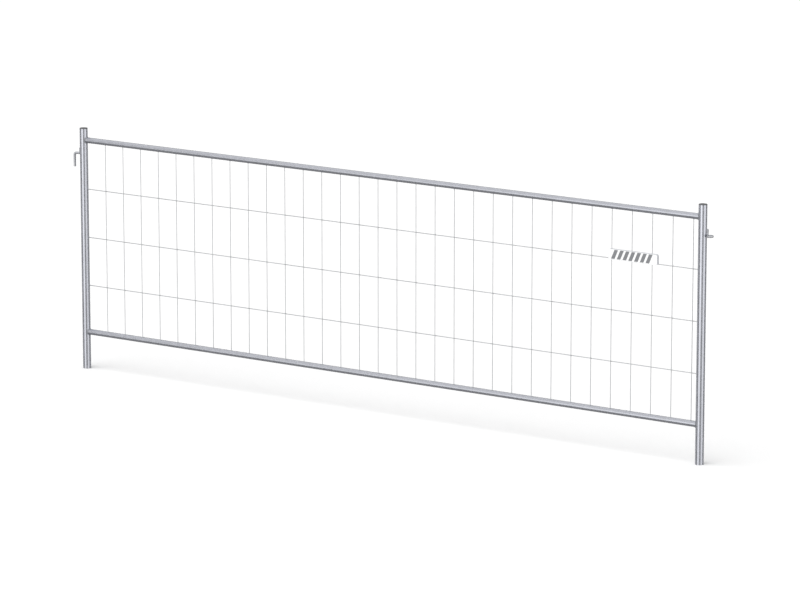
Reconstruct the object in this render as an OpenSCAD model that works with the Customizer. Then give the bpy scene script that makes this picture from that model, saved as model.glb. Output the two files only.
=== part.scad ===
// Low mesh barrier panel for crowd control: two round posts, two rails,
// a welded wire mesh, a hook and an eye that couple it to its neighbours,
// and a clamp-on sign plate. X runs along the panel, Y through it, Z is up.
// The origin is at the height of the post feet, midway between the posts.

/* [Frame] */
// Overall width, from the outside of one post to the outside of the other
frame_w = 3500; // [2600:10:4200]
// Overall height, post caps included
frame_h = 1200; // [980:10:1500]
// Outer diameter of the posts
post_d = 40; // [32:0.5:50]
// Wall of the post tube
post_wall = 1.5; // [1:0.1:3]
// Outer diameter of the rails
rail_d = 28; // [22:0.5:34]
// Wall of the rail tube
rail_wall = 1.5; // [1:0.1:3]
// Height of the bottom rail's axis above the feet
low_rail_z = 184; // [120:1:260]
// Drop from the post tops to the top rail's axis
top_rail_drop = 59; // [40:1:100]
// Fit-up gap at each welded joint
weld_gap = 0.1; // [0.05:0.05:0.3]

/* [Post caps] */
// Thickness of the cap's head, over the tube's end
cap_head = 2.5; // [1.5:0.1:5]
// Depth of the cap's plug inside the tube
cap_plug = 16; // [10:1:30]
// Wall of the hollow plug
cap_wall = 1.6; // [1:0.1:3]
// Bevel round the top of the head
cap_bevel = 0.8; // [0.2:0.1:1.2]
// Radial clearance between the plug and the tube
cap_play = 0.6; // [0.3:0.1:1.2]
// Radial clearance of the gripping fins
fin_play = 0.1; // [0.05:0.05:0.2]
// Number of gripping fins
fin_count = 3; // [2:1:4]
// Height of a gripping fin
fin_h = 1; // [0.6:0.1:1.6]

/* [Mesh] */
// Number of vertical wires
wire_count = 32; // [24:1:38]
// Diameter of the vertical wires
wire_d = 3; // [2:0.1:5]
// Diameter of the horizontal wires
row_d = 4; // [3:0.1:6]
// Number of horizontal wires
row_count = 3; // [2:1:5]
// From the left post's axis to the first vertical wire
left_margin = 131.6; // [60:0.1:180]
// From the last vertical wire to the right post's axis
right_margin = 45.5; // [35:0.1:120]
// From the bottom rail's axis to the lowest horizontal wire
low_margin = 234; // [120:1:280]
// From the highest horizontal wire to the top rail's axis
high_margin = 243; // [120:1:280]

/* [Hook and eye] */
// Diameter of the hook's bar
hook_bar_d = 12; // [10:0.5:14.5]
// Diameter of the eye's bar
eye_bar_d = 10; // [8:0.5:12]
// Radial play of a hook's pin in an eye
pin_play = 1.25; // [1:0.05:4]
// Depth to which drilling trues the inside of the ring
land_depth = 0.5; // [0.2:0.1:1]
// Drop from the post tops to the middle of the eye's ring
eye_drop = 144; // [100:1:300]
// Gap between the eye's ring and the neighbour's hook arm over it
arm_rest_gap = 5; // [1:0.5:10]
// Distance from the hook's welded leg to its pin
hook_throw = 31.5; // [26:0.5:60]
// How far behind the panel's middle the hook's leg is welded
hook_leg_back = 6; // [0:0.5:10]
// Bend radius of the hook, on the bar's centreline
hook_bend_r = 10; // [8:0.5:12]
// Height of the hook's leg above the arm's centreline
hook_leg_h = 26; // [20:1:60]
// Length of the pin below the arm's centreline
hook_pin_h = 68; // [40:1:120]
// Bevel on the pin's end
pin_bevel = 1.5; // [0.5:0.1:2.5]
// Bend radius between the eye's leg and its ring
eye_bend_r = 6; // [5.2:0.1:7]
// Height of the eye's leg above the ring
eye_leg_h = 32; // [20:1:60]
// Part of a turn that the ring's bar makes
ring_turn = 325; // [300:1:335]

/* [Sign plate] */
// How many gaps between vertical wires the plate spans
sign_cells = 2; // [2:2:4]
// How far the plate reaches past the outer wires that it clamps, on the mean of its two sides
sign_overhang = 21.9; // [15:0.1:35]
// Height of the plate
sign_h = 48.5; // [46:0.5:90]
// Thickness of the front half
sign_front_t = 8; // [5:0.1:12]
// Thickness of the back half
sign_back_t = 8; // [5.5:0.1:12]
// Corner radius of the plate
sign_corner = 8; // [1:0.5:10]
// The wire at the plate's middle, counted from the right end of the mesh
sign_wire_from_right = 3; // [3:1:20]
// How far right of that wire the plate's middle is
sign_shift = 7.4; // [-12:0.1:12]
// How far the plate reaches below the top horizontal wire
sign_under = 4.4; // [3.5:0.1:20]
// Clearance round the wires inside the plate
wire_play = 0.3; // [0.1:0.05:0.6]

/* [Sign screws] */
// Shank diameter
screw_d = 3.5; // [2.5:0.1:4.5]
// Head diameter
screw_head_d = 6.8; // [5.5:0.1:8]
// Head thickness
screw_head_h = 2.2; // [1.5:0.1:2.5]
// Depth of the head below the plate's back
screw_sink = 0.2; // [0:0.1:0.5]
// Radial clearance round the shank and the head
screw_play = 0.15; // [0.05:0.05:0.4]
// Front wall left in front of a screw's tip
screw_front_wall = 1.6; // [1:0.1:3]
// From the plate's top edge, and from the horizontal wire, to the screws
screw_margin = 12; // [8:0.5:16]
// Width of the cross recess's arms
recess_w = 0.9; // [0.6:0.1:1.2]
// Length of the cross recess's arms, from tip to tip
recess_span = 4.1; // [3:0.1:4.8]
// Depth of the cross recess
recess_depth = 1.2; // [0.6:0.1:1.4]

/* [Hidden] */
$fn = 64;
eps = 0.5; // how far a cutting shape runs past what it cuts

post_r = post_d / 2;
post_x = frame_w / 2 - post_r;
tube_h = frame_h - cap_head;
post_bore_r = post_r - post_wall;
top_rail_z = frame_h - top_rail_drop;
rail_r = rail_d / 2;

wire_r = wire_d / 2;
row_r = row_d / 2;
wire_pitch = (2 * post_x - left_margin - right_margin) / (wire_count - 1);
row_pitch = (top_rail_z - low_rail_z - low_margin - high_margin) / (row_count - 1);
wire_y = -wire_r - weld_gap / 2; // vertical wires lie in front of the middle plane
row_y = row_r + weld_gap / 2;    // horizontal wires lie behind it

eye_z = frame_h - eye_drop;
eye_bore_r = hook_bar_d / 2 + pin_play;
ring_r = eye_bore_r + eye_bar_d / 2 - land_depth;
ring_out = post_r + weld_gap + eye_bar_d / 2 + sqrt(pow(ring_r, 2) + pow(eye_bend_r, 2));
eye_turn = atan(eye_bend_r / ring_r); // brings the leg straight beside the post

arm_z = eye_z + eye_bar_d / 2 + arm_rest_gap + hook_bar_d / 2;
leg_out = sqrt(pow(post_r + weld_gap + hook_bar_d / 2, 2) - pow(hook_leg_back, 2));
hook_turn = asin(hook_leg_back / hook_throw);

sign_wire = wire_count - sign_wire_from_right;
sign_w = sign_cells * wire_pitch + 2 * sign_overhang;
sign_x = wire_x(sign_wire) + sign_shift;
sign_low = row_z(row_count) - sign_under;
sign_high = sign_low + sign_h;

screw_r = screw_d / 2;
screw_seat_y = sign_back_t - screw_sink - screw_head_h;
screw_tip_y = screw_front_wall - sign_front_t;
screw_xs = [wire_x(sign_wire) - wire_pitch / 2, wire_x(sign_wire) + wire_pitch / 2];
screw_zs = [row_z(row_count) + screw_margin, sign_high - screw_margin];
screw_spots = [for (x = screw_xs) for (z = screw_zs) [x, z]];

function wire_x(i) = -post_x + left_margin + (i - 1) * wire_pitch;
function row_z(i) = low_rail_z + low_margin + (i - 1) * row_pitch;
function two_digits(i) = str(i < 10 ? "0" : "", i);

wire_names = [for (i = [1:wire_count]) str("vertical_wire_", two_digits(i))];
row_names = [for (i = [1:row_count]) str("horizontal_wire_", i)];
screw_names = [for (i = [1:len(screw_spots)]) str("sign_screw_", i)];

// ---- shapes used more than once ----

// A tube standing on the XY plane
module tube(outer_r, wall, h) {
    difference() {
        cylinder(r = outer_r, h = h);
        translate([0, 0, -eps]) cylinder(r = outer_r - wall, h = h + 2 * eps);
    }
}

// A quarter bend in the XZ plane, from (bend_r, 0, 0) to (0, 0, bend_r)
module quarter_bend(bar_r, bend_r) {
    rotate([90, 0, 0])
        rotate_extrude(angle = 90)
            translate([bend_r, 0]) circle(r = bar_r);
}

// A rod along +Z with a bevelled end at the origin
module bevelled_rod(rod_r, h, bevel) {
    cylinder(r1 = rod_r - bevel, r2 = rod_r, h = bevel);
    translate([0, 0, bevel]) cylinder(r = rod_r, h = h - bevel);
}

// A rectangle with round corners, centred on the origin
module round_plate_outline(w, h, corner) {
    square([w - 2 * corner, h], center = true);
    square([w, h - 2 * corner], center = true);
    for (x = [-1, 1], z = [-1, 1])
        translate([x * (w / 2 - corner), z * (h / 2 - corner)]) circle(r = corner);
}

// ---- frame ----

module post(side) {
    color("silver")
        translate([side * post_x, 0, 0]) tube(post_r, post_wall, tube_h);
}

module rail(z) {
    color("silver")
        difference() {
            translate([-post_x, 0, z])
                rotate([0, 90, 0]) tube(rail_r, rail_wall, 2 * post_x);
            for (side = [-1, 1])
                translate([side * post_x, 0, z - rail_r - eps])
                    cylinder(r = post_r + weld_gap, h = rail_d + 2 * eps);
        }
}

module post_cap(side) {
    fin_pitch = cap_plug / fin_count;
    plug_r = post_bore_r - cap_play;
    color("dimgray")
        translate([side * post_x, 0, tube_h]) {
            cylinder(r = post_r, h = cap_head - cap_bevel);
            translate([0, 0, cap_head - cap_bevel])
                cylinder(r1 = post_r, r2 = post_r - cap_bevel, h = cap_bevel);
            translate([0, 0, -cap_plug]) tube(plug_r, cap_wall, cap_plug);
            for (i = [1:fin_count])
                translate([0, 0, -i * fin_pitch])
                    tube(post_bore_r - fin_play, cap_wall, fin_h);
        }
}

// ---- mesh ----

module vertical_wire(i) {
    low = low_rail_z + rail_r + weld_gap;
    high = top_rail_z - rail_r - weld_gap;
    color("lightgray")
        translate([wire_x(i), wire_y, low]) cylinder(r = wire_r, h = high - low);
}

module horizontal_wire(i) {
    half = post_x - post_r - weld_gap;
    color("lightgray")
        translate([-half, row_y, row_z(i)])
            rotate([0, 90, 0]) cylinder(r = row_r, h = 2 * half);
}

// ---- hook and eye ----

// The hook in its own upright plane: leg up at the origin's axis, pin down at -X
module hook_bar() {
    bar_r = hook_bar_d / 2;
    translate([-hook_bend_r, 0, hook_bend_r])
        mirror([0, 0, 1]) quarter_bend(bar_r, hook_bend_r);
    translate([0, 0, hook_bend_r]) cylinder(r = bar_r, h = hook_leg_h - hook_bend_r);
    translate([hook_bend_r - hook_throw, 0, 0])
        rotate([0, 90, 0]) cylinder(r = bar_r, h = hook_throw - 2 * hook_bend_r);
    translate([hook_bend_r - hook_throw, 0, -hook_bend_r])
        mirror([1, 0, 0]) quarter_bend(bar_r, hook_bend_r);
    translate([-hook_throw, 0, -hook_pin_h])
        bevelled_rod(bar_r, hook_pin_h - hook_bend_r, pin_bevel);
}

module coupling_hook() {
    color("silver")
        translate([-post_x - leg_out, hook_leg_back, arm_z])
            rotate([0, 0, hook_turn]) hook_bar();
}

// The eye round the origin: a lying ring, with its leg rising beside the post at -X
module eye_bar() {
    bar_r = eye_bar_d / 2;
    rotate([0, 0, 180 - ring_turn])
        rotate_extrude(angle = ring_turn)
            translate([ring_r, 0]) circle(r = bar_r);
    translate([-ring_r, 0, eye_bend_r])
        mirror([0, 0, 1])
            rotate([0, 0, -90]) quarter_bend(bar_r, eye_bend_r);
    translate([-ring_r, -eye_bend_r, eye_bend_r])
        cylinder(r = bar_r, h = eye_leg_h - eye_bend_r);
}

module coupling_eye() {
    drill_h = eye_bar_d + 2 * eps;
    color("silver")
        translate([post_x + ring_out, 0, eye_z])
            difference() {
                rotate([0, 0, -eye_turn]) eye_bar();
                translate([0, 0, -drill_h / 2]) cylinder(r = eye_bore_r, h = drill_h);
            }
}

// ---- sign plate ----

// One half of the plate, from y0 to y1, without its grooves and holes
module sign_blank(y0, y1) {
    translate([sign_x, y1, (sign_low + sign_high) / 2])
        rotate([90, 0, 0])
            linear_extrude(height = y1 - y0) round_plate_outline(sign_w, sign_h, sign_corner);
}

// Grooves for the vertical wires, open at the parting plane
module wire_grooves() {
    groove_r = wire_r + wire_play;
    for (i = [1:wire_count])
        if (abs(wire_x(i) - sign_x) < sign_w / 2 + groove_r)
            translate([wire_x(i), 0, sign_low - eps]) {
                translate([0, wire_y, 0]) cylinder(r = groove_r, h = sign_h + 2 * eps);
                translate([-groove_r, wire_y, 0])
                    cube([2 * groove_r, eps - wire_y, sign_h + 2 * eps]);
            }
}

// Groove for the horizontal wire, open at the parting plane
module row_groove() {
    groove_r = row_r + wire_play;
    translate([sign_x - sign_w / 2 - eps, 0, row_z(row_count)]) {
        translate([0, row_y, 0])
            rotate([0, 90, 0]) cylinder(r = groove_r, h = sign_w + 2 * eps);
        translate([0, -eps, -groove_r]) cube([sign_w + 2 * eps, row_y + eps, 2 * groove_r]);
    }
}

// A hole along Y from y0 to y1, at a screw's place
module screw_hole(spot, r, y0, y1) {
    translate([spot[0], y1, spot[1]]) rotate([90, 0, 0]) cylinder(r = r, h = y1 - y0);
}

module sign_front() {
    color("white")
        difference() {
            sign_blank(-sign_front_t, 0);
            wire_grooves();
            for (spot = screw_spots)
                screw_hole(spot, screw_r + screw_play, screw_tip_y - screw_play, eps);
        }
}

module sign_back() {
    color("white")
        difference() {
            sign_blank(0, sign_back_t);
            row_groove();
            for (spot = screw_spots) {
                screw_hole(spot, screw_r + screw_play, -eps, sign_back_t);
                screw_hole(spot, screw_head_d / 2 + screw_play, screw_seat_y, sign_back_t + eps);
            }
        }
}

module sign_screw(i) {
    spot = screw_spots[i - 1];
    head_top = screw_seat_y + screw_head_h;
    color("gray")
        difference() {
            union() {
                screw_hole(spot, screw_head_d / 2, screw_seat_y, head_top);
                screw_hole(spot, screw_r, screw_tip_y, screw_seat_y);
            }
            for (turn = [0, 90])
                translate([spot[0], head_top, spot[1]])
                    rotate([0, turn, 0])
                        cube([recess_span, 2 * recess_depth, recess_w], center = true);
        }
}

post(-1);  // left_post
post(1);  // right_post
rail(top_rail_z);  // top_rail
rail(low_rail_z);  // bottom_rail
post_cap(-1);  // left_post_cap
post_cap(1);  // right_post_cap
for (i = [1:wire_count]) vertical_wire(i);
for (i = [1:row_count]) horizontal_wire(i);
coupling_hook();
coupling_eye();
sign_front();
sign_back();
for (i = [1:len(screw_spots)]) sign_screw(i);
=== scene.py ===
import math

import bpy
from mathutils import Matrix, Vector


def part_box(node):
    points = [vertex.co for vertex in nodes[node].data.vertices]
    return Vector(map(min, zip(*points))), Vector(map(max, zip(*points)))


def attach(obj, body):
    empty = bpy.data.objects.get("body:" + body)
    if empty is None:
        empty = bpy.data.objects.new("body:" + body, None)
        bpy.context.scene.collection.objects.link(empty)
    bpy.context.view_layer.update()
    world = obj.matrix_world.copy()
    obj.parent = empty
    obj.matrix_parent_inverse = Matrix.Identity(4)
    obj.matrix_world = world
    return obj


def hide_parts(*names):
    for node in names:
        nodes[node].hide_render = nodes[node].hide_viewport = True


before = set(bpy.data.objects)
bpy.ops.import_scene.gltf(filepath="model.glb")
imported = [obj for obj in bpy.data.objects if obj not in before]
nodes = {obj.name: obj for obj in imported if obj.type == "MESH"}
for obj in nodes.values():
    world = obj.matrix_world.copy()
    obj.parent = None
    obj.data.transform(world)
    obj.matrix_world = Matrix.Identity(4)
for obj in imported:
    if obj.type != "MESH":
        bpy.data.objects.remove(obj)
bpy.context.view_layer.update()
print("frame loaded:", len(nodes), "nodes")


# working helpers

def deselectAll():
    for thing in bpy.context.selected_objects:
        thing.select_set(False)


def pick(thing):
    deselectAll()
    thing.select_set(True)
    bpy.context.view_layer.objects.active = thing


def applyPlace(thing):
    pick(thing)
    bpy.ops.object.transform_apply(location=True, rotation=True, scale=True)


def applyModifier(thing, kind, **settings):
    pick(thing)
    modifier = thing.modifiers.new(kind.title(), kind)
    for key, value in settings.items():
        setattr(modifier, key, value)
    bpy.ops.object.modifier_apply(modifier=modifier.name)


def joinAll(things, name):
    deselectAll()
    for thing in things:
        thing.select_set(True)
    bpy.context.view_layer.objects.active = things[0]
    bpy.ops.object.join()
    things[0].name = name
    return things[0]


def copyTo(thing, place):
    twin = thing.copy()
    twin.data = thing.data.copy()
    twin.location = place
    bpy.context.scene.collection.objects.link(twin)
    return twin


def smoothByAngle(thing, degrees=35):
    pick(thing)
    bpy.ops.object.shade_smooth_by_angle(angle=math.radians(degrees))


def closeAndTurnOut(thing):  # merges doubles, then points every face outwards
    pick(thing)
    bpy.ops.object.mode_set(mode="EDIT")
    bpy.ops.mesh.select_all(action="SELECT")
    bpy.ops.mesh.remove_doubles(threshold=0.00002)
    bpy.ops.mesh.normals_make_consistent(inside=False)
    bpy.ops.object.mode_set(mode="OBJECT")


def selectPoints(thing, test):  # edit mode stays on, with the points that pass the test selected
    pick(thing)
    bpy.ops.object.mode_set(mode="EDIT")
    bpy.ops.mesh.select_mode(type="VERT")
    bpy.ops.mesh.select_all(action="DESELECT")
    bpy.ops.object.mode_set(mode="OBJECT")
    for point in thing.data.vertices:
        point.select = test(point.co)
    bpy.ops.object.mode_set(mode="EDIT")


def middle(node):
    low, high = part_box(node)
    return (low + high) / 2


def size(node):
    low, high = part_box(node)
    return high - low


def nodesNamed(start):
    return [name for name in sorted(nodes) if name.startswith(start)]


def finishPiece(thing, material, slotName, *replaced):
    applyPlace(thing)
    thing.data.materials.clear()
    thing.data.materials.append(material)
    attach(thing, "root")
    if replaced:
        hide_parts(*replaced)


# shader maths

class Val:  # one number in a shader, so that maths on it is written as Python
    def __init__(self, net, socket):
        self.net = net
        self.socket = socket

    def maths(self, operation, first, second=0.0):
        made = self.net.node("ShaderNodeMath", {"operation": operation}, {0: first, 1: second})
        return self.net.val(made)

    def __add__(self, other):
        return self.maths("ADD", self, other)

    def __radd__(self, other):
        return self.maths("ADD", other, self)

    def __sub__(self, other):
        return self.maths("SUBTRACT", self, other)

    def __rsub__(self, other):
        return self.maths("SUBTRACT", other, self)

    def __mul__(self, other):
        return self.maths("MULTIPLY", self, other)

    def __rmul__(self, other):
        return self.maths("MULTIPLY", other, self)


class Net:  # a node tree that is written as calls
    def __init__(self, tree):
        self.tree = tree

    def node(self, kind, settings=None, values=None):
        made = self.tree.nodes.new(kind)
        for key, value in (settings or {}).items():
            if key == "stops":
                self.setStops(made.color_ramp, value)
            else:
                setattr(made, key, value)
        for key, value in (values or {}).items():
            self.feed(made.inputs[key], value)
        return made

    def setStops(self, ramp, stops):
        while len(ramp.elements) < len(stops):
            ramp.elements.new(1.0)
        for element, (place, level) in zip(ramp.elements, stops):
            element.position = place
            element.color = (level, level, level, 1)

    def feed(self, socket, value):
        if isinstance(value, Val):
            self.tree.links.new(value.socket, socket)
        elif isinstance(value, bpy.types.NodeSocket):
            self.tree.links.new(value, socket)
        else:
            socket.default_value = value

    def val(self, node, output=0):
        return Val(self, node.outputs[output])

    def place(self, centre=(0, 0, 0)):  # object coordinates, measured from a centre
        texture = self.node("ShaderNodeTexCoord")
        moved = self.node("ShaderNodeMapping", {"vector_type": "POINT"},
                          {"Vector": texture.outputs["Object"], "Location": [-c for c in centre]})
        return moved.outputs[0]

    def split(self, vector):
        parts = self.node("ShaderNodeSeparateXYZ", {}, {0: vector})
        return [self.val(parts, i) for i in range(3)]

    def noise(self, vector, scale, detail=3.0, roughness=0.5):
        values = {"Vector": vector, "Scale": scale, "Detail": detail, "Roughness": roughness}
        return self.val(self.node("ShaderNodeTexNoise", {}, values), "Fac")

    def cells(self, vector, scale):  # a random level for each crystal
        values = {"Vector": vector, "Scale": scale}
        made = self.node("ShaderNodeTexVoronoi", {"feature": "F1"}, values)
        return self.val(self.node("ShaderNodeSeparateColor", {}, {0: made.outputs["Color"]}))

    def ramp(self, value, stops):
        return self.val(self.node("ShaderNodeValToRGB", {"stops": stops}, {"Fac": value}))

    def rise(self, value, low, high):  # 0 below low, 1 above high
        return self.ramp(value, [(low, 0.0), (high, 1.0)])

    def spread(self, value, low, high):  # a level from 0 to 1 becomes one from low to high
        return value * (high - low) + low

    def blend(self, factor, colourA, colourB):
        made = self.node("ShaderNodeMix", {"data_type": "RGBA"})
        self.feed(made.inputs["Factor"], factor)
        self.feed(made.inputs[6], colourA)
        self.feed(made.inputs[7], colourB)
        return made.outputs[2]

    def bump(self, height, distance, under=None):
        values = {"Height": height, "Distance": distance}
        if under is not None:
            values["Normal"] = under
        return self.node("ShaderNodeBump", {}, values).outputs[0]


def newMaterial(name, **constants):
    material = bpy.data.materials.new(name)
    material.use_nodes = True
    shader = material.node_tree.nodes["Principled BSDF"]
    for socketName, value in constants.items():
        shader.inputs[socketName.replace("_", " ")].default_value = value
    return material, Net(material.node_tree), shader


def coat(net, shader, colour, roughness, normal):
    net.feed(shader.inputs["Base Color"], colour)
    net.feed(shader.inputs["Roughness"], roughness)
    net.feed(shader.inputs["Normal"], normal)


# camera

view = {
    "aim": (0.112, 0.0, 0.5645),
    "distance": 21.467,
    "azimuth": 33.22,       # degrees to the right of the panel's front
    "elevation": 12.47,
    "lens": 206.2,
    "sensor": 36,
    "farthest": 200,
}


def makeCamera():
    azimuth = math.radians(view["azimuth"])
    elevation = math.radians(view["elevation"])
    back = Vector((math.sin(azimuth) * math.cos(elevation),
                   -math.cos(azimuth) * math.cos(elevation),
                   math.sin(elevation)))
    data = bpy.data.cameras.new("camera")
    data.lens = view["lens"]
    data.sensor_width = view["sensor"]
    data.clip_end = view["farthest"]
    camera = bpy.data.objects.new("camera", data)
    camera.location = Vector(view["aim"]) + back * view["distance"]
    camera.rotation_euler = (-back).to_track_quat("-Z", "Y").to_euler()
    bpy.context.scene.collection.objects.link(camera)
    bpy.context.scene.camera = camera


# studio: a white floor, a soft key from the front, and softboxes that the tubes mirror

studio = {
    "floorSize": 60.0,
    "floorColour": (0.90, 0.90, 0.90, 1),
    "floorRough": 0.9,
    "backdrop": 1.0,
    "fill": 0.66,           # even light on all that isn't metal
    "key": 2.1,             # soft sun from the front left
    "keyFrom": (-0.35, -0.75, 1.0),
    "keySpread": 70.0,      # degrees
    "boxes": 4.0,           # softboxes all round
    "boxTurn": -6.8,        # where the first one stands, in degrees
    "boxLow": 0.26,         # brightness between two boxes
    "boxHigh": 1.98,        # and in the middle of one
    "boxLean": 0.16,        # how much brighter the boxes on the left are than the even ones
    "frontTurn": -49.0,     # the middle of the front, in degrees
    "behind": 0.45,         # how bright the boxes at the back are, beside the front ones
    "frontRise": (0.42, 0.62),   # from the back's level to the front's; 0 is the back, 1 the front
    "ground": 0.31,
    "groundFade": (0.30, 0.44),  # heights from straight down, 0, to straight up, 1
    "sky": 0.86,
    "skyRise": (0.62, 0.82),
}


def makeFloor():
    deselectAll()
    bpy.ops.mesh.primitive_plane_add(size=studio["floorSize"], location=(0, 0, 0))
    floor = bpy.context.object
    floor.name = "floor"
    floor.visible_glossy = False
    material, net, shader = newMaterial("floorPaint", Base_Color=studio["floorColour"],
                                        Roughness=studio["floorRough"], Specular_IOR_Level=0.0)
    floor.data.materials.append(material)


def makeKey():
    lamp = bpy.data.lights.new("key", "SUN")
    lamp.energy = studio["key"]
    lamp.angle = math.radians(studio["keySpread"])
    key = bpy.data.objects.new("key", lamp)
    key.rotation_euler = Vector(studio["keyFrom"]).to_track_quat("Z", "Y").to_euler()
    key.visible_glossy = False
    bpy.context.scene.collection.objects.link(key)


def makeSurround():
    world = bpy.data.worlds.new("studio")
    bpy.context.scene.world = world
    world.use_nodes = True
    net = Net(world.node_tree)
    x, y, z = net.split(net.node("ShaderNodeTexCoord").outputs["Generated"])
    azimuth = y.maths("ARCTAN2", y, x)
    turned = azimuth - math.radians(studio["boxTurn"])
    waves = turned.maths("COSINE", turned * studio["boxes"]) * 0.5 + 0.5
    fromFront = azimuth - math.radians(studio["frontTurn"])
    side = fromFront.maths("SINE", fromFront)
    boxSize = studio["boxHigh"] - studio["boxLow"]
    boxes = waves * (1 - side * studio["boxLean"]) * boxSize + studio["boxLow"]
    facing = fromFront.maths("COSINE", fromFront)
    backEnd, frontStart = studio["frontRise"]
    depth = net.ramp(facing * 0.5 + 0.5, [(backEnd, studio["behind"]), (frontStart, 1.0)])
    height = z * 0.5 + 0.5
    skyShare = net.rise(height, *studio["skyRise"])
    groundShare = 1 - net.rise(height, *studio["groundFade"])
    level = boxes * depth * (1 - skyShare) + skyShare * studio["sky"]
    level = level * (1 - groundShare) + groundShare * studio["ground"]
    path = net.node("ShaderNodeLightPath")
    seen = net.val(path, "Is Camera Ray")
    glossy = net.val(path, "Is Glossy Ray")
    filled = (1 - seen) * (1 - glossy) * studio["fill"]
    strength = seen * studio["backdrop"] + glossy * level + filled
    background = world.node_tree.nodes["Background"]
    net.feed(background.inputs["Color"], (1, 1, 1, 1))
    net.feed(background.inputs["Strength"], strength)
    bpy.context.scene.view_settings.view_transform = "Standard"
    bpy.context.scene.view_settings.look = "None"


makeCamera()
makeFloor()
makeKey()
makeSurround()
print("camera and studio ready")


# galvanised steel: sizes of a pattern are in waves per metre, depths in metres

tubeFinish = {
    "dark": (0.51, 0.52, 0.565, 1),
    "light": (0.68, 0.695, 0.755, 1),
    "spangle": 95.0,
    "spangleShare": 0.35,    # how much of the shade follows the crystals, and not the clouds
    "clouds": 5.0,
    "stains": 17.0,
    "stainRise": (0.56, 0.72),
    "stainColour": (0.60, 0.60, 0.60, 1),
    "stainStrength": 0.35,
    "stainRough": 0.10,
    "rough": (0.20, 0.32),
    "grain": 900.0,
    "grainDepth": 0.00002,
    "facetDepth": 0.00001,
    "seamWidth": 0.075,      # radians round the tube
    "seamDepth": 0.0002,
}

tubeSeamsAndPaintedLight = {                # where the seam faces, in degrees, and how much lighter the tube's colour is painted; that lift is painted light, a painted sheen or shade on the whole tube in place of the reflections it catches
    "left_post": (200.0, -0.06),     # past 180, so this seam doesn't show
    # painted highlight: the right post is painted lighter for the brighter reflection it catches,
    # the left post a little darker as painted shade
    "right_post": (-20.0, 0.18),
    "top_rail": (120.0, 0.0),
    "bottom_rail": (60.0, 0.0),
}

wireFinish = {
    "uprightDark": (0.51, 0.52, 0.535, 1),
    "uprightLight": (0.65, 0.66, 0.675, 1),
    "rowDark": (0.64, 0.65, 0.665, 1),
    "rowLight": (0.78, 0.79, 0.805, 1),
    "clouds": 14.0,
    "rough": (0.26, 0.40),
    "grain": 1200.0,
    "grainDepth": 0.00002,
}

barFinish = {
    "dark": (0.48, 0.49, 0.515, 1),
    "light": (0.62, 0.63, 0.665, 1),
    "clouds": 40.0,
    "rough": (0.42, 0.56),
    "grain": 500.0,
    "grainDepth": 0.00006,
    "rubbed": (0.78, 0.78, 0.785, 1),
    "rubbedSpots": 380.0,
    "rubbedRise": (0.42, 0.62),
    "rubbedStrength": 0.8,
    "rubbedSmooth": 0.12,
    "rubbedPin": 0.060,      # height of the hook's pin that the eye rubs bright
    "rubbedRing": 0.3,       # part of the eye's height that the pin rubs bright
}

weldFinish = {
    "dark": (0.34, 0.35, 0.37, 1),
    "light": (0.50, 0.51, 0.53, 1),
    "lumps": 220.0,
    "detail": 4.0,
    "rough": (0.34, 0.54),
    "depth": 0.00015,
}

screwFinish = {
    "dark": (0.55, 0.56, 0.58, 1),
    "light": (0.74, 0.74, 0.75, 1),
    "lumps": 700.0,
    "detail": 3.0,
    "rough": (0.20, 0.38),
    "depth": 0.00003,
}


def seamHeight(net, place, seamTurn, upright):  # the tube's own rolled weld line
    x, y, z = net.split(place)
    across = x if upright else z
    turn = across.maths("ARCTAN2", y, across) - math.radians(seamTurn)
    width = tubeFinish["seamWidth"]
    return net.ramp(turn.maths("ABSOLUTE", turn), [(0.0, 1.0), (width / 2, 0.85), (width, 0.0)])


def tubeZinc(name, centre, upright):
    seamTurn, paintedLift = tubeSeamsAndPaintedLight[name]
    material, net, shader = newMaterial(name + "Zinc", Metallic=1.0)
    place = net.place(centre)
    crystal = net.cells(place, tubeFinish["spangle"])
    clouds = net.noise(place, tubeFinish["clouds"], 5.0, 0.6)
    stain = net.rise(net.noise(place, tubeFinish["stains"], 6.0, 0.7), *tubeFinish["stainRise"])
    share = tubeFinish["spangleShare"]
    # the tube's lift is painted light: its whole colour moves lighter or darker to stand in for the
    # reflections it catches
    shade = crystal * share + clouds * (1 - share) + paintedLift
    clean = net.blend(shade, tubeFinish["dark"], tubeFinish["light"])
    colour = net.blend(stain * tubeFinish["stainStrength"], clean, tubeFinish["stainColour"])
    roughness = net.spread(crystal * 0.5 + clouds * 0.5, *tubeFinish["rough"])
    grain = net.bump(net.noise(place, tubeFinish["grain"], 2.0), tubeFinish["grainDepth"])
    facets = net.bump(crystal, tubeFinish["facetDepth"], grain)
    seam = net.bump(seamHeight(net, place, seamTurn, upright), tubeFinish["seamDepth"], facets)
    coat(net, shader, colour, roughness + stain * tubeFinish["stainRough"], seam)
    return material


def wireZinc(name, dark, light):
    material, net, shader = newMaterial(name, Metallic=1.0)
    place = net.place()
    clouds = net.noise(place, wireFinish["clouds"], 4.0, 0.6)
    grain = net.bump(net.noise(place, wireFinish["grain"], 2.0), wireFinish["grainDepth"])
    colour = net.blend(clouds, dark, light)
    coat(net, shader, colour, net.spread(clouds, *wireFinish["rough"]), grain)
    return material


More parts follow.
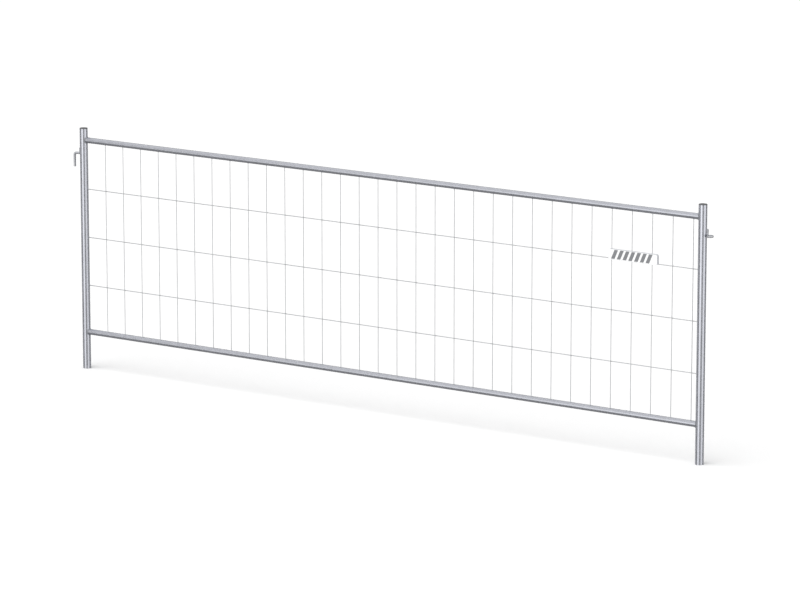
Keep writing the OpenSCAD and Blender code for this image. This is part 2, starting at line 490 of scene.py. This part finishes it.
def barZinc(name, foot, rubbedHeight):  # rubbed bright near its foot, where the coupling slides
    material, net, shader = newMaterial(name, Metallic=1.0)
    place = net.place()
    clouds = net.noise(place, barFinish["clouds"], 5.0, 0.65)
    height = (net.split(place)[2] - foot) * (1 / rubbedHeight)
    reach = net.ramp(height, [(0.0, 1.0), (0.5, 0.9), (1.0, 0.0)])
    spots = net.noise(place, barFinish["rubbedSpots"], 5.0, 0.6)
    rubbed = reach * net.rise(spots, *barFinish["rubbedRise"])
    base = net.blend(clouds, barFinish["dark"], barFinish["light"])
    colour = net.blend(rubbed * barFinish["rubbedStrength"], base, barFinish["rubbed"])
    roughness = net.spread(clouds, *barFinish["rough"]) - rubbed * barFinish["rubbedSmooth"]
    grain = net.bump(net.noise(place, barFinish["grain"], 3.0), barFinish["grainDepth"])
    coat(net, shader, colour, roughness, grain)
    return material


def lumpyZinc(name, finish):  # for welds and screws: the same lumps give shade, gloss and relief
    material, net, shader = newMaterial(name, Metallic=1.0)
    lumps = net.noise(net.place(), finish["lumps"], finish["detail"], 0.6)
    colour = net.blend(lumps, finish["dark"], finish["light"])
    coat(net, shader, colour, net.spread(lumps, *finish["rough"]), net.bump(lumps, finish["depth"]))
    return material


def paintNode(name, material):
    nodes[name].data.materials.clear()
    nodes[name].data.materials.append(material)


def dressMetal():
    for name in ("left_post", "right_post"):
        at = middle(name)
        paintNode(name, tubeZinc(name, (at.x, at.y, 0), True))
    for name in ("top_rail", "bottom_rail"):
        at = middle(name)
        paintNode(name, tubeZinc(name, (0, at.y, at.z), False))
    upright = wireZinc("uprightWireZinc", wireFinish["uprightDark"], wireFinish["uprightLight"])
    row = wireZinc("rowWireZinc", wireFinish["rowDark"], wireFinish["rowLight"])
    screw = lumpyZinc("screwZinc", screwFinish)
    finishes = {"vertical_wire": upright, "horizontal_wire": row, "sign_screw": screw}
    for start, material in finishes.items():
        for name in nodesNamed(start):
            paintNode(name, material)
    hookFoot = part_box("coupling_hook")[0].z
    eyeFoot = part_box("coupling_eye")[0].z
    rubbedRing = size("coupling_eye").z * barFinish["rubbedRing"]
    paintNode("coupling_hook", barZinc("hookZinc", hookFoot, barFinish["rubbedPin"]))
    paintNode("coupling_eye", barZinc("eyeZinc", eyeFoot, rubbedRing))


dressMetal()
print("metal dressed")


# post caps: moulded plugs, turned from one half outline

capShape = {
    "rim": 0.0012,       # radius of the rounded rim
    "rimSteps": 5,
    "crown": 0.0004,     # how far the middle stands above the rim's top
    "ring": 0.0135,      # radius of the ring line in the top
    "ringDepth": 0.0003,
    "ringWidth": 0.0008,
    "plugRadius": 0.0179,
    "finRadius": 0.0184,
    "finHeight": 0.001,
    "finSlope": 0.0004,  # how far a fin's upper slope rises
    "finTip": 0.0002,    # how far its lower slope drops
    "wall": 0.0016,
    "plugDepth": 0.016,
    "fins": 3,
    "steps": 72,
    "inset": 0.00001,    # how far the head stays inside the node's box
}

capFinish = {
    "dark": (0.075, 0.077, 0.082, 1),
    "light": (0.125, 0.126, 0.13, 1),
    "dust": 60.0,
    "rough": (0.48, 0.68),
    "scuffs": 330.0,
    "scuffRise": (0.58, 0.66),
    "scuffRough": 0.12,
    "grain": 1400.0,
    "grainDepth": 0.0001,
}


def capOutline(radius, head):  # radius and height, from the crown's middle to the plug's inside
    rim, crown, ring = capShape["rim"], capShape["crown"], capShape["ring"]
    width, deep = capShape["ringWidth"], capShape["ringDepth"]
    slope = crown / (radius - rim)
    outline = [(0.0, 0.0)]
    for share, drop in ((-1, 0), (-0.5, deep), (0.5, deep), (1, 0)):
        at = ring + width * share
        outline.append((at, -slope * at - drop))
    for step in range(capShape["rimSteps"] + 1):
        turn = math.radians(90 - step * 90 / capShape["rimSteps"])
        outline.append((radius - rim + rim * math.cos(turn), -crown - rim + rim * math.sin(turn)))
    plug, tip = capShape["plugRadius"], capShape["finRadius"]
    outline += [(radius, -head), (plug, -head)]
    pitch = capShape["plugDepth"] / capShape["fins"]
    for fin in range(1, capShape["fins"] + 1):
        low = -head - fin * pitch
        high = low + capShape["finHeight"]
        outline += [(plug, high + capShape["finSlope"]), (tip, high),
                    (tip, low + capShape["finTip"]), (plug, low)]
    inside = plug - capShape["wall"]
    outline += [(inside, -head - capShape["plugDepth"]), (inside, -head), (0.0, -head)]
    return outline


def turnOutline(outline, centre, name):  # a point extruded along the outline, then the line is spun
    deselectAll()
    bpy.ops.mesh.primitive_plane_add(size=0.001, location=(0, 0, 0))
    thing = bpy.context.object
    thing.name = name
    bpy.ops.object.mode_set(mode="EDIT")
    bpy.ops.mesh.select_mode(type="VERT")
    bpy.ops.mesh.select_all(action="SELECT")
    bpy.ops.mesh.merge(type="CENTER")
    start = Vector((outline[0][0], 0, outline[0][1]))
    bpy.ops.transform.translate(value=centre + start)
    for (fromR, fromZ), (toR, toZ) in zip(outline, outline[1:]):
        step = (toR - fromR, 0, toZ - fromZ)
        bpy.ops.mesh.extrude_region_move(TRANSFORM_OT_translate={"value": step})
    bpy.ops.mesh.select_all(action="SELECT")
    bpy.ops.mesh.spin(steps=capShape["steps"], angle=math.radians(360),
                      center=centre, axis=(0, 0, 1))
    bpy.ops.object.mode_set(mode="OBJECT")
    closeAndTurnOut(thing)
    smoothByAngle(thing, 30)
    return thing


def capPlastic():
    material, net, shader = newMaterial("capPlastic", IOR=1.46)
    place = net.place()
    dust = net.noise(place, capFinish["dust"], 4.0, 0.6)
    scuffs = net.rise(net.noise(place, capFinish["scuffs"], 5.0, 0.7), *capFinish["scuffRise"])
    colour = net.blend(dust, capFinish["dark"], capFinish["light"])
    roughness = net.spread(dust, *capFinish["rough"]) + scuffs * capFinish["scuffRough"]
    grain = net.bump(net.noise(place, capFinish["grain"], 3.0, 0.6), capFinish["grainDepth"])
    coat(net, shader, colour, roughness, grain)
    return material


def makeCaps():
    plastic = capPlastic()
    for side in ("left", "right"):
        node = side + "_post_cap"
        low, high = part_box(node)
        at = middle(node)
        head = high.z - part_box(side + "_post")[1].z
        outline = capOutline(size(node).x / 2 - capShape["inset"], head)
        cap = turnOutline(outline, Vector((at.x, at.y, high.z)), side + "CapMoulded")
        finishPiece(cap, plastic, "cap_plastic", node)


makeCaps()
print("post caps made")


# weld beads: overlapping puddles along a line, drawn together into one rippled bead

weld = {
    "voxel": 0.00045,
    "uneven": 0.10,          # how much bigger or smaller a puddle may be
    "unevenTurn": 2.4,
    "saddleSize": 0.0024,    # radius of one puddle
    "saddleOut": 0.0007,     # how far the bead's middle stands off both tubes
    "saddleSteps": 46,
    "legSize": 0.0021,
    "legOut": 0.0009,
    "legPitch": 0.0015,
    "legEnd": 0.0015,        # how far a bead beside a leg stops from each end
}


def puddleChain(points, radius, name):
    deselectAll()
    bpy.ops.mesh.primitive_ico_sphere_add(subdivisions=2, radius=radius, location=points[0])
    first = bpy.context.object
    chain = [first] + [copyTo(first, place) for place in points[1:]]
    for index, puddle in enumerate(chain):
        grow = 1.0 + weld["uneven"] * math.sin(index * weld["unevenTurn"])
        puddle.scale = (grow, grow, grow)
    bead = joinAll(chain, name)
    applyPlace(bead)
    applyModifier(bead, "REMESH", mode="VOXEL", voxel_size=weld["voxel"], use_smooth_shade=True)
    applyModifier(bead, "SMOOTH", iterations=3, factor=0.5)
    return bead


def saddlePoints(post, rail):  # round the joint of a rail and a post, a little off both
    postAt, railAt = middle(post), middle(rail)
    toPost = size(post).x / 2 + weld["saddleOut"]
    toRail = size(rail).z / 2 + weld["saddleOut"]
    inward = -1 if postAt.x > 0 else 1
    points = []
    for step in range(weld["saddleSteps"]):
        turn = 2 * math.pi * step / weld["saddleSteps"]
        y = toRail * math.sin(turn)
        z = railAt.z + toRail * math.cos(turn)
        points.append((postAt.x + inward * math.sqrt(toPost ** 2 - y ** 2), postAt.y + y, z))
    return points


def legPoints(post, leg, barRadius, lowZ, highZ, side):  # in the groove between a bar and a post
    axis = middle(post)
    postRadius = size(post).x / 2
    gap = Vector((leg.x - axis.x, leg.y - axis.y, 0))
    apart = gap.length
    toPost = postRadius + weld["legOut"]
    toBar = barRadius + weld["legOut"] + max(0.0, apart - postRadius - barRadius) / 2
    along = (apart ** 2 + toPost ** 2 - toBar ** 2) / (2 * apart)
    aside = math.sqrt(max(0.0, toPost ** 2 - along ** 2))
    out = gap.normalized()
    across = Vector((-out.y, out.x, 0)) * side
    count = int((highZ - lowZ) / weld["legPitch"])
    foot = axis + out * along + across * aside
    return [(foot.x, foot.y, lowZ + (highZ - lowZ) * i / count) for i in range(count + 1)]


def makeTubeWelds(metal):
    for post in ("left_post", "right_post"):
        for rail in ("top_rail", "bottom_rail"):
            name = post.split("_")[0] + rail.split("_")[0].title() + "Weld"
            bead = puddleChain(saddlePoints(post, rail), weld["saddleSize"], name)
            finishPiece(bead, metal, "galvanised_tube")


coupling = {
    "hookBar": 0.012,
    "eyeBar": 0.010,
    "hookLeg": 0.016,    # straight length of the leg that is welded
    "eyeLeg": 0.026,
}


def makeCouplingWelds(metal):
    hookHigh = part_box("coupling_hook")[1]
    eyeLow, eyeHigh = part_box("coupling_eye")
    hookBar = coupling["hookBar"] / 2
    eyeBar = coupling["eyeBar"] / 2
    hookLeg = Vector((hookHigh.x - hookBar, middle("left_post").y, 0))
    eyeLeg = Vector((eyeLow.x + eyeBar, middle("right_post").y, 0))
    jobs = (("hook", "left_post", hookLeg, hookBar, hookHigh.z - coupling["hookLeg"], hookHigh.z),
            ("eye", "right_post", eyeLeg, eyeBar, eyeHigh.z - coupling["eyeLeg"], eyeHigh.z))
    for name, post, leg, bar, lowZ, highZ in jobs:
        for side in (-1, 1):
            points = legPoints(post, leg, bar, lowZ + weld["legEnd"], highZ - weld["legEnd"], side)
            sideName = "Back" if side > 0 else "Front"
            bead = puddleChain(points, weld["legSize"], name + sideName + "Weld")
            finishPiece(bead, metal, "galvanised_bar")


# mesh welds: one small nugget, copied to every crossing and wire end

nugget = {               # radii along X, Y and Z
    "crossing": (0.0024, 0.0011, 0.0026),
    "wireEnd": (0.0026, 0.0026, 0.0013),
    "rowEnd": (0.0014, 0.0030, 0.0030),
    "lumps": 0.0006,
    "lumpSize": 0.0016,
}


def makeNugget(radii, name):  # a ball flattened to its size, with an uneven skin
    deselectAll()
    bpy.ops.mesh.primitive_ico_sphere_add(subdivisions=2, radius=1.0, location=(0, 0, 0))
    ball = bpy.context.object
    ball.name = name
    bpy.ops.object.mode_set(mode="EDIT")
    bpy.ops.mesh.select_all(action="SELECT")
    bpy.ops.transform.resize(value=radii)
    bpy.ops.object.mode_set(mode="OBJECT")
    texture = bpy.data.textures.new(name + "Lumps", "CLOUDS")
    texture.noise_scale = nugget["lumpSize"]
    applyModifier(ball, "DISPLACE", texture=texture, strength=nugget["lumps"], mid_level=0.5)
    smoothByAngle(ball, 180)
    return ball


def spreadNuggets(radii, places, name, metal):
    first = makeNugget(radii, name)
    twins = [copyTo(first, place) for place in places]
    bpy.data.objects.remove(first)
    for index, twin in enumerate(twins):
        twin.rotation_euler = (0, math.pi * (index % 2), 0)
    finishPiece(joinAll(twins, name), metal, "galvanised_wire")


def makeMeshWelds(metal):
    uprights = nodesNamed("vertical_wire")
    rows = nodesNamed("horizontal_wire")
    signLow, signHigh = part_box("sign_front")
    crossings, wireEnds, rowEnds = [], [], []
    for upright in uprights:
        low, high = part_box(upright)
        at = middle(upright)
        wireEnds += [(at.x, at.y, low.z), (at.x, at.y, high.z)]
        for row in rows:
            z = middle(row).z
            hidden = signLow.x < at.x < signHigh.x and signLow.z < z < signHigh.z
            if not hidden:
                crossings.append((at.x, (high.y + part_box(row)[0].y) / 2, z))
    for row in rows:
        low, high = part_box(row)
        at = middle(row)
        rowEnds += [(low.x, at.y, at.z), (high.x, at.y, at.z)]
    spreadNuggets(nugget["crossing"], crossings, "crossingWelds", metal)
    spreadNuggets(nugget["wireEnd"], wireEnds, "wireEndWelds", metal)
    spreadNuggets(nugget["rowEnd"], rowEnds, "rowEndWelds", metal)


weldMetal = lumpyZinc("weldZinc", weldFinish)
makeTubeWelds(weldMetal)
makeCouplingWelds(weldMetal)
makeMeshWelds(weldMetal)
print("weld beads made")


# sign plate: two moulded halves with softened edges, a film on the front and plain hazard bars; the
# halves are painted grey, painted shade on the sides, top and back of a white plate

sign = {
    "softEdge": 0.0006,
    "filmMargin": 0.001,
    "filmCorner": 0.007,
    "filmThickness": 0.0002,
    "bars": 7,
    "barHeight": 0.0425,
    "barLift": 0.001,       # how far the bars sit above the plate's middle
    "barLean": 0.018,       # how far the top of a bar stands to the right of its foot
    "barShare": 0.62,       # part of the pitch that is inked
    "barField": 0.211,      # length of the row of bars
    "barFieldShift": -0.0047,
    "inkThickness": 0.00012,
}

signFinish = {
    "film": 25.0,
    "streaks": 120.0,
    "streakRise": (0.60, 0.72),
    "streakColour": (0.55, 0.55, 0.53, 1),
    "streakStrength": 0.25,
    "streakRough": 0.1,
    "grain": 1600.0,
    # dark, light, roughness and depth of the grain
    # the body's grey is painted shade: the plate's sides, top and back are darkened in colour in
    # place of the shade that falls on them
    "signBodyPaintedShade": ((0.60, 0.61, 0.64, 1), (0.67, 0.68, 0.71, 1), (0.36, 0.52), 0.00005),
    "signFilm": ((0.84, 0.845, 0.85, 1), (0.89, 0.89, 0.89, 1), (0.22, 0.34), 0.00001),
    "signInk": ((0.175, 0.18, 0.19, 1), (0.22, 0.225, 0.235, 1), (0.28, 0.42), 0.00002),
}


def softenedCopy(node, name):  # a merged copy of a node's shape, with its sharp edges rounded
    thing = nodes[node].copy()
    thing.data = nodes[node].data.copy()
    thing.name = name
    thing.parent = None
    bpy.context.scene.collection.objects.link(thing)
    pick(thing)
    bpy.ops.mesh.customdata_custom_splitnormals_clear()
    bpy.ops.object.mode_set(mode="EDIT")
    bpy.ops.mesh.select_all(action="SELECT")
    bpy.ops.mesh.remove_doubles(threshold=0.00001)
    bpy.ops.mesh.dissolve_limited(angle_limit=math.radians(0.5))
    bpy.ops.object.mode_set(mode="OBJECT")
    applyModifier(thing, "BEVEL", width=sign["softEdge"], segments=3, limit_method="ANGLE",
                  angle_limit=math.radians(40), use_clamp_overlap=True)
    smoothByAngle(thing, 40)
    return thing


def plate(low, high, y, thickness, corner, name):  # a thin round-cornered plate, facing the front
    deselectAll()
    bpy.ops.mesh.primitive_plane_add(size=1.0, location=(0, 0, 0))
    thing = bpy.context.object
    thing.name = name
    bpy.ops.object.mode_set(mode="EDIT")
    bpy.ops.mesh.select_all(action="SELECT")
    bpy.ops.transform.resize(value=(high.x - low.x, high.z - low.z, 1))
    if corner:
        bpy.ops.mesh.bevel(offset=corner, segments=6, affect="VERTICES")
        bpy.ops.mesh.select_all(action="SELECT")
    bpy.ops.mesh.extrude_region_move(TRANSFORM_OT_translate={"value": (0, 0, thickness)})
    bpy.ops.object.mode_set(mode="OBJECT")
    thing.rotation_euler = (math.radians(90), 0, 0)
    thing.location = ((low.x + high.x) / 2, y, (low.z + high.z) / 2)
    applyPlace(thing)
    closeAndTurnOut(thing)
    return thing


def hazardBar(x, midZ, y, width, name):
    half = sign["barHeight"] / 2
    low = Vector((x - width / 2, 0, midZ - half))
    high = Vector((x + width / 2, 0, midZ + half))
    bar = plate(low, high, y, sign["inkThickness"], 0, name)
    selectPoints(bar, lambda at: at.z > midZ)
    bpy.ops.transform.translate(value=(sign["barLean"], 0, 0))
    bpy.ops.object.mode_set(mode="OBJECT")
    return bar


def signPlastic(name):
    dark, light, rough, grainDepth = signFinish[name]
    material, net, shader = newMaterial(name, IOR=1.5)
    place = net.place()
    film = net.noise(place, signFinish["film"], 5.0, 0.6)
    streaks = net.rise(net.noise(place, signFinish["streaks"], 6.0, 0.7), *signFinish["streakRise"])
    colour = net.blend(streaks * signFinish["streakStrength"], net.blend(film, dark, light),
                       signFinish["streakColour"])
    roughness = net.spread(film, *rough) + streaks * signFinish["streakRough"]
    grain = net.bump(net.noise(place, signFinish["grain"], 2.0), grainDepth)
    coat(net, shader, colour, roughness, grain)
    return material


def makeSign():
    # the moulded halves get the grey body colour, painted shade on the plate's sides
    body = signPlastic("signBodyPaintedShade")
    for half in ("front", "back"):
        finishPiece(softenedCopy("sign_" + half, "sign" + half.title() + "Moulded"), body,
                    "sign_plastic", "sign_" + half)
    low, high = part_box("sign_front")
    margin = Vector((sign["filmMargin"], 0, sign["filmMargin"]))
    film = plate(low + margin, high - margin, low.y, sign["filmThickness"], sign["filmCorner"],
                 "signFilmSheet")
    finishPiece(film, signPlastic("signFilm"), "sign_plastic")
    inkY = low.y - sign["filmThickness"]
    mid = (low + high) / 2
    pitch = sign["barField"] / sign["bars"]
    width = pitch * sign["barShare"]
    start = mid.x + sign["barFieldShift"] - (sign["barField"] - pitch) / 2 - sign["barLean"] / 2
    barZ = mid.z + sign["barLift"]
    bars = [hazardBar(start + i * pitch, barZ, inkY, width, "bar" + str(i))
            for i in range(sign["bars"])]
    finishPiece(joinAll(bars, "signHazardBars"), signPlastic("signInk"), "sign_plastic")


makeSign()
print("sign plate made")
